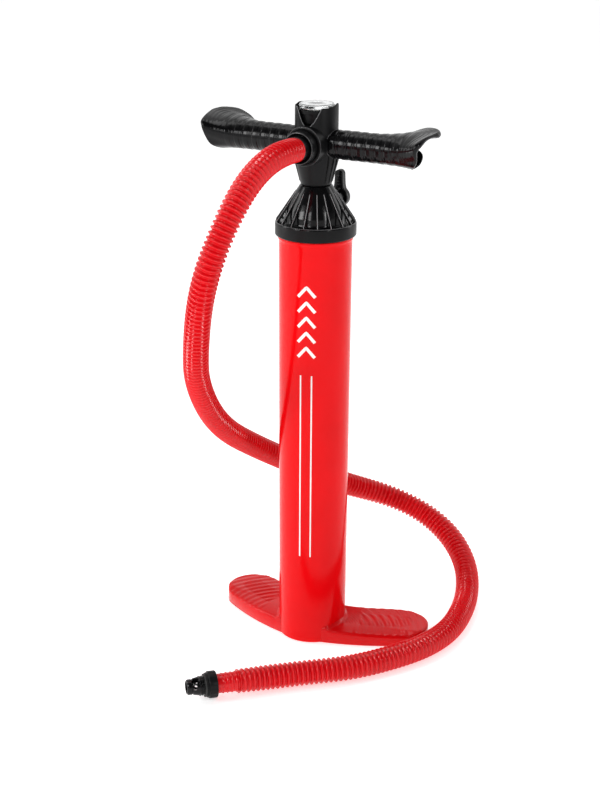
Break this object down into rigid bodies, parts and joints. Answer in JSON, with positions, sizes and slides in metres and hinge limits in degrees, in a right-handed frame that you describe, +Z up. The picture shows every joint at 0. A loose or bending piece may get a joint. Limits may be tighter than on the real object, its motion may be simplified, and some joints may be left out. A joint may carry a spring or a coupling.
{
  "type": "double action hand pump",
  "caption": "Upright double action hand pump with foot plates, sliding T handle with pressure gauge, mode lever and corrugated hose with bayonet fitting.",
  "frame": {"origin": "on the floor, on the axis of the barrel", "axes": "+Z up along the barrel and the stroke, X along the grips, -Y towards the hose outlet and the gauge window"},
  "size_m": [0.3005, 0.458, 0.6168],
  "materials": {
    "red": "glossy",
    "hose_red": "glossy",
    "black": "satin",
    "grip": "satin",
    "rubber": "matt",
    "aluminium": "satin",
    "brass": "satin",
    "steel": "satin",
    "white": "satin",
    "needle_red": "satin",
    "clear": "polished",
    "natural": "satin"
  },
  "bodies": {
    "barrel": {"barrel_foot_moulding": "red", "cap": "black", "cap_oring": "rubber", "rod_guide_bush": "natural", "rod_seal": "rubber", "seal_retainer": "black", "retainer_screw_1": "steel", "retainer_screw_2": "steel", "retainer_screw_3": "steel", "hose": "hose_red", "hose_cuff_end": "hose_red"},
    "handle": {"piston_rod": "aluminium", "inner_air_tube": "natural", "piston_upper_plate": "black", "piston_seal": "rubber", "piston_lower_plate": "black", "piston_screw_1": "steel", "piston_screw_2": "steel", "piston_screw_3": "steel", "handle_hub": "black", "left_grip": "grip", "right_grip": "grip", "grip_screw_left": "steel", "grip_screw_right": "steel", "gauge_housing": "black", "gauge_socket": "brass", "bourdon_tube": "brass", "gauge_dial": "white", "gauge_lens": "clear", "outlet_gasket": "rubber", "hose_connector": "black", "hose_cuff_top": "hose_red"},
    "mode_lever": {"mode_lever": "black", "lever_oring": "rubber"},
    "intake_flap": {"intake_flap": "rubber"},
    "piston_flap": {"piston_flap": "rubber"},
    "outlet_valve": {"outlet_valve": "rubber"},
    "hose_nut": {"hose_nut": "black"},
    "gauge_needle": {"gauge_needle": "needle_red", "gauge_pinion": "brass"},
    "gauge_sector": {"gauge_sector": "brass"},
    "fitting": {"nozzle_body": "black", "nozzle_collar": "black", "nozzle_gasket": "rubber"}
  },
  "joints": [
    {"name": "handle_slide", "type": "slide", "parent": "barrel", "child": "handle", "axis": [0, 0, 1], "range_m": [0, 0.42], "deforming": ["hose"]},
    {"name": "mode_lever_turn", "type": "hinge", "parent": "barrel", "child": "mode_lever", "pos_m": [0, 0, 0.5035], "axis": [0, 1, 0], "range_deg": [0, 90]},
    {"name": "intake_flap_lift", "type": "slide", "parent": "barrel", "child": "intake_flap", "axis": [0, 0, -1], "range_m": [0, 0.0012], "stiffness_N_per_m": 200, "springref_m": -0.0005},
    {"name": "piston_flap_lift", "type": "slide", "parent": "handle", "child": "piston_flap", "axis": [0, 0, 1], "range_m": [0, 0.0015], "stiffness_N_per_m": 100},
    {"name": "outlet_valve_lift", "type": "slide", "parent": "handle", "child": "outlet_valve", "axis": [0, -1, 0], "range_m": [0, 0.0012], "stiffness_N_per_m": 100, "springref_m": -0.0003},
    {"name": "hose_nut_turn", "type": "hinge", "parent": "handle", "child": "hose_nut", "pos_m": [0, 0, 0.574], "axis": [0, -1, 0], "continuous": true},
    {"name": "gauge_needle_turn", "type": "hinge", "parent": "handle", "child": "gauge_needle", "pos_m": [0, 0, 0.6095], "axis": [0, 0, 1], "range_deg": [-270, 0], "stiffness_Nm_per_rad": 0.00001},
    {"name": "gauge_sector_turn", "type": "hinge", "parent": "handle", "child": "gauge_sector", "pos_m": [-0.009, 0, 0.6032], "axis": [0, 0, 1], "range_deg": [0, 54]},
    {"name": "fitting_turn", "type": "hinge", "parent": "barrel", "child": "fitting", "pos_m": [-0.0145, -0.1975, 0.0163], "axis": [-0.7229, -0.6909, 0], "continuous": true}
  ],
  "couplings": [
    {"joint": "gauge_sector_turn", "follows": "gauge_needle_turn", "ratio": -0.2}
  ]
}
